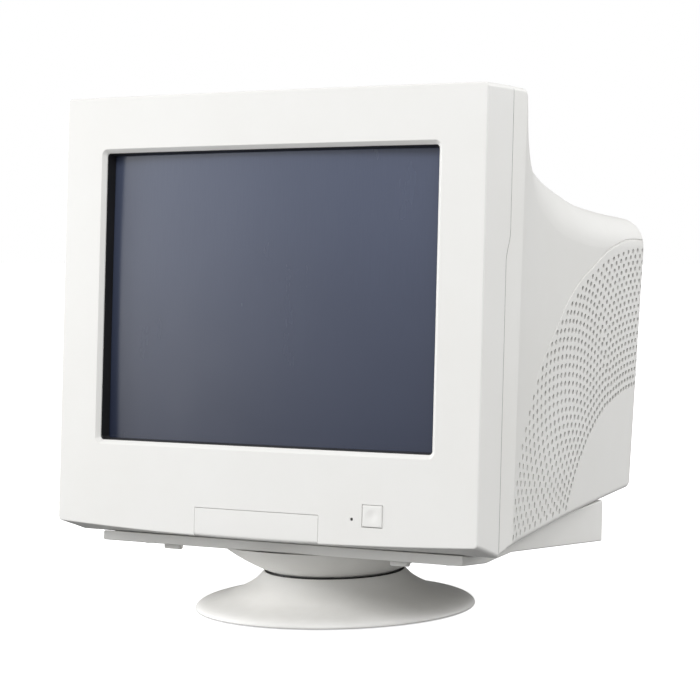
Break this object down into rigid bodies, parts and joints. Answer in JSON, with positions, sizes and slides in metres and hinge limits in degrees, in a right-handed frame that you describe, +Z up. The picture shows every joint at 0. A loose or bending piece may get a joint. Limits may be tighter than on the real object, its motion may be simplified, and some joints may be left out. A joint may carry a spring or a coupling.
{
  "type": "crt computer monitor",
  "caption": "Boxy off-white CRT computer monitor with a flat-face tube, a front control flap and a tilt-and-swivel pedestal.",
  "frame": {"origin": "bottom centre of the monitor's bounding box, on the desk under its feet", "axes": "+Z up; -Y is the way the screen faces; +X is on the viewer's right. The head leans back 4.85 degrees at rest"},
  "size_m": [0.41, 0.4101, 0.4343],
  "materials": {
    "case_plastic": "fine-textured off-white moulding",
    "black_plastic": "black moulding",
    "tube_glass": "dark tinted screen glass over grey phosphor",
    "coated_glass": "glass under a graphite coat",
    "zinc_steel": "zinc-plated sheet",
    "aluminium": "plain extruded",
    "copper_winding": "enamelled copper wire",
    "ferrite": "dark sintered ferrite",
    "circuit_board": "green solder mask",
    "rubber": "matt",
    "red_insulation": "red sleeve",
    "capacitor_sleeve": "dark blue sleeve",
    "socket_insulator": "blue moulding"
  },
  "bodies": {
    "base": {"pedestal": "case_plastic", "foot_1": "rubber", "foot_2": "rubber", "foot_3": "rubber", "foot_4": "rubber", "foot_5": "rubber"},
    "turntable": {"swivel_saddle": "black_plastic", "pivot_washer": "zinc_steel", "pivot_bolt": "zinc_steel", "pivot_nut": "zinc_steel"},
    "head": {"anode_cap": "rubber", "anode_lead": "red_insulation", "bottom_cover": "case_plastic", "chassis_tray": "zinc_steel", "connector_panel": "zinc_steel", "control_board": "circuit_board", "control_pocket": "case_plastic", "convergence_ring_1": "ferrite", "convergence_ring_2": "ferrite", "convergence_ring_3": "ferrite", "cover_screw_1": "zinc_steel", "cover_screw_2": "zinc_steel", "cover_screw_3": "zinc_steel", "cover_screw_4": "zinc_steel", "deflection_yoke": "copper_winding", "degauss_coil": "black_plastic", "electron_gun": "zinc_steel", "filter_capacitor": "capacitor_sleeve", "flyback_transformer": "ferrite", "front_bezel": "case_plastic", "heat_sink": "aluminium", "main_board": "circuit_board", "main_capacitor": "capacitor_sleeve", "mains_inlet": "black_plastic", "neck_board": "circuit_board", "neck_shield": "zinc_steel", "power_transformer": "copper_winding", "rear_cover": "case_plastic", "screen_surround": "black_plastic", "shadow_mask": "zinc_steel", "stand_off_pad_1": "case_plastic", "stand_off_pad_2": "case_plastic", "status_light_guide": "black_plastic", "tilt_dome": "case_plastic", "tube_band": "zinc_steel", "tube_faceplate": "tube_glass", "tube_funnel": "coated_glass", "tube_screw_1": "zinc_steel", "tube_screw_2": "zinc_steel", "tube_screw_3": "zinc_steel", "tube_screw_4": "zinc_steel", "tube_socket": "black_plastic", "video_socket": "socket_insulator"},
    "flap": {"flap_door": "case_plastic"},
    "power_button": {"power_button": "case_plastic"},
    "control_1": {"control_button_1": "case_plastic"},
    "control_2": {"control_button_2": "case_plastic"},
    "control_3": {"control_button_3": "case_plastic"},
    "control_4": {"control_button_4": "case_plastic"}
  },
  "joints": [
    {"name": "swivel", "type": "hinge", "parent": "base", "child": "turntable", "pos_m": [0, -0.084, 0], "axis": [0, 0, 1], "range_deg": [-90, 90]},
    {"name": "tilt", "type": "hinge", "parent": "turntable", "child": "head", "pos_m": [0, -0.084, 0.1723], "axis": [-1, 0, 0], "range_deg": [-9.85, 10.15]},
    {"name": "flap_hinge", "type": "hinge", "parent": "head", "child": "flap", "pos_m": [0, -0.1988, 0.07803], "axis": [1, 0, 0], "range_deg": [0, 95]},
    {"name": "power_press", "type": "slide", "parent": "head", "child": "power_button", "axis": [0, 0.9964, -0.0845], "range_m": [0, 0.003], "stiffness_N_per_m": 400},
    {"name": "control_press_1", "type": "slide", "parent": "head", "child": "control_1", "axis": [0, 0.9964, -0.0845], "range_m": [0, 0.001], "stiffness_N_per_m": 300},
    {"name": "control_press_2", "type": "slide", "parent": "head", "child": "control_2", "axis": [0, 0.9964, -0.0845], "range_m": [0, 0.001], "stiffness_N_per_m": 300},
    {"name": "control_press_3", "type": "slide", "parent": "head", "child": "control_3", "axis": [0, 0.9964, -0.0845], "range_m": [0, 0.001], "stiffness_N_per_m": 300},
    {"name": "control_press_4", "type": "slide", "parent": "head", "child": "control_4", "axis": [0, 0.9964, -0.0845], "range_m": [0, 0.001], "stiffness_N_per_m": 300}
  ]
}
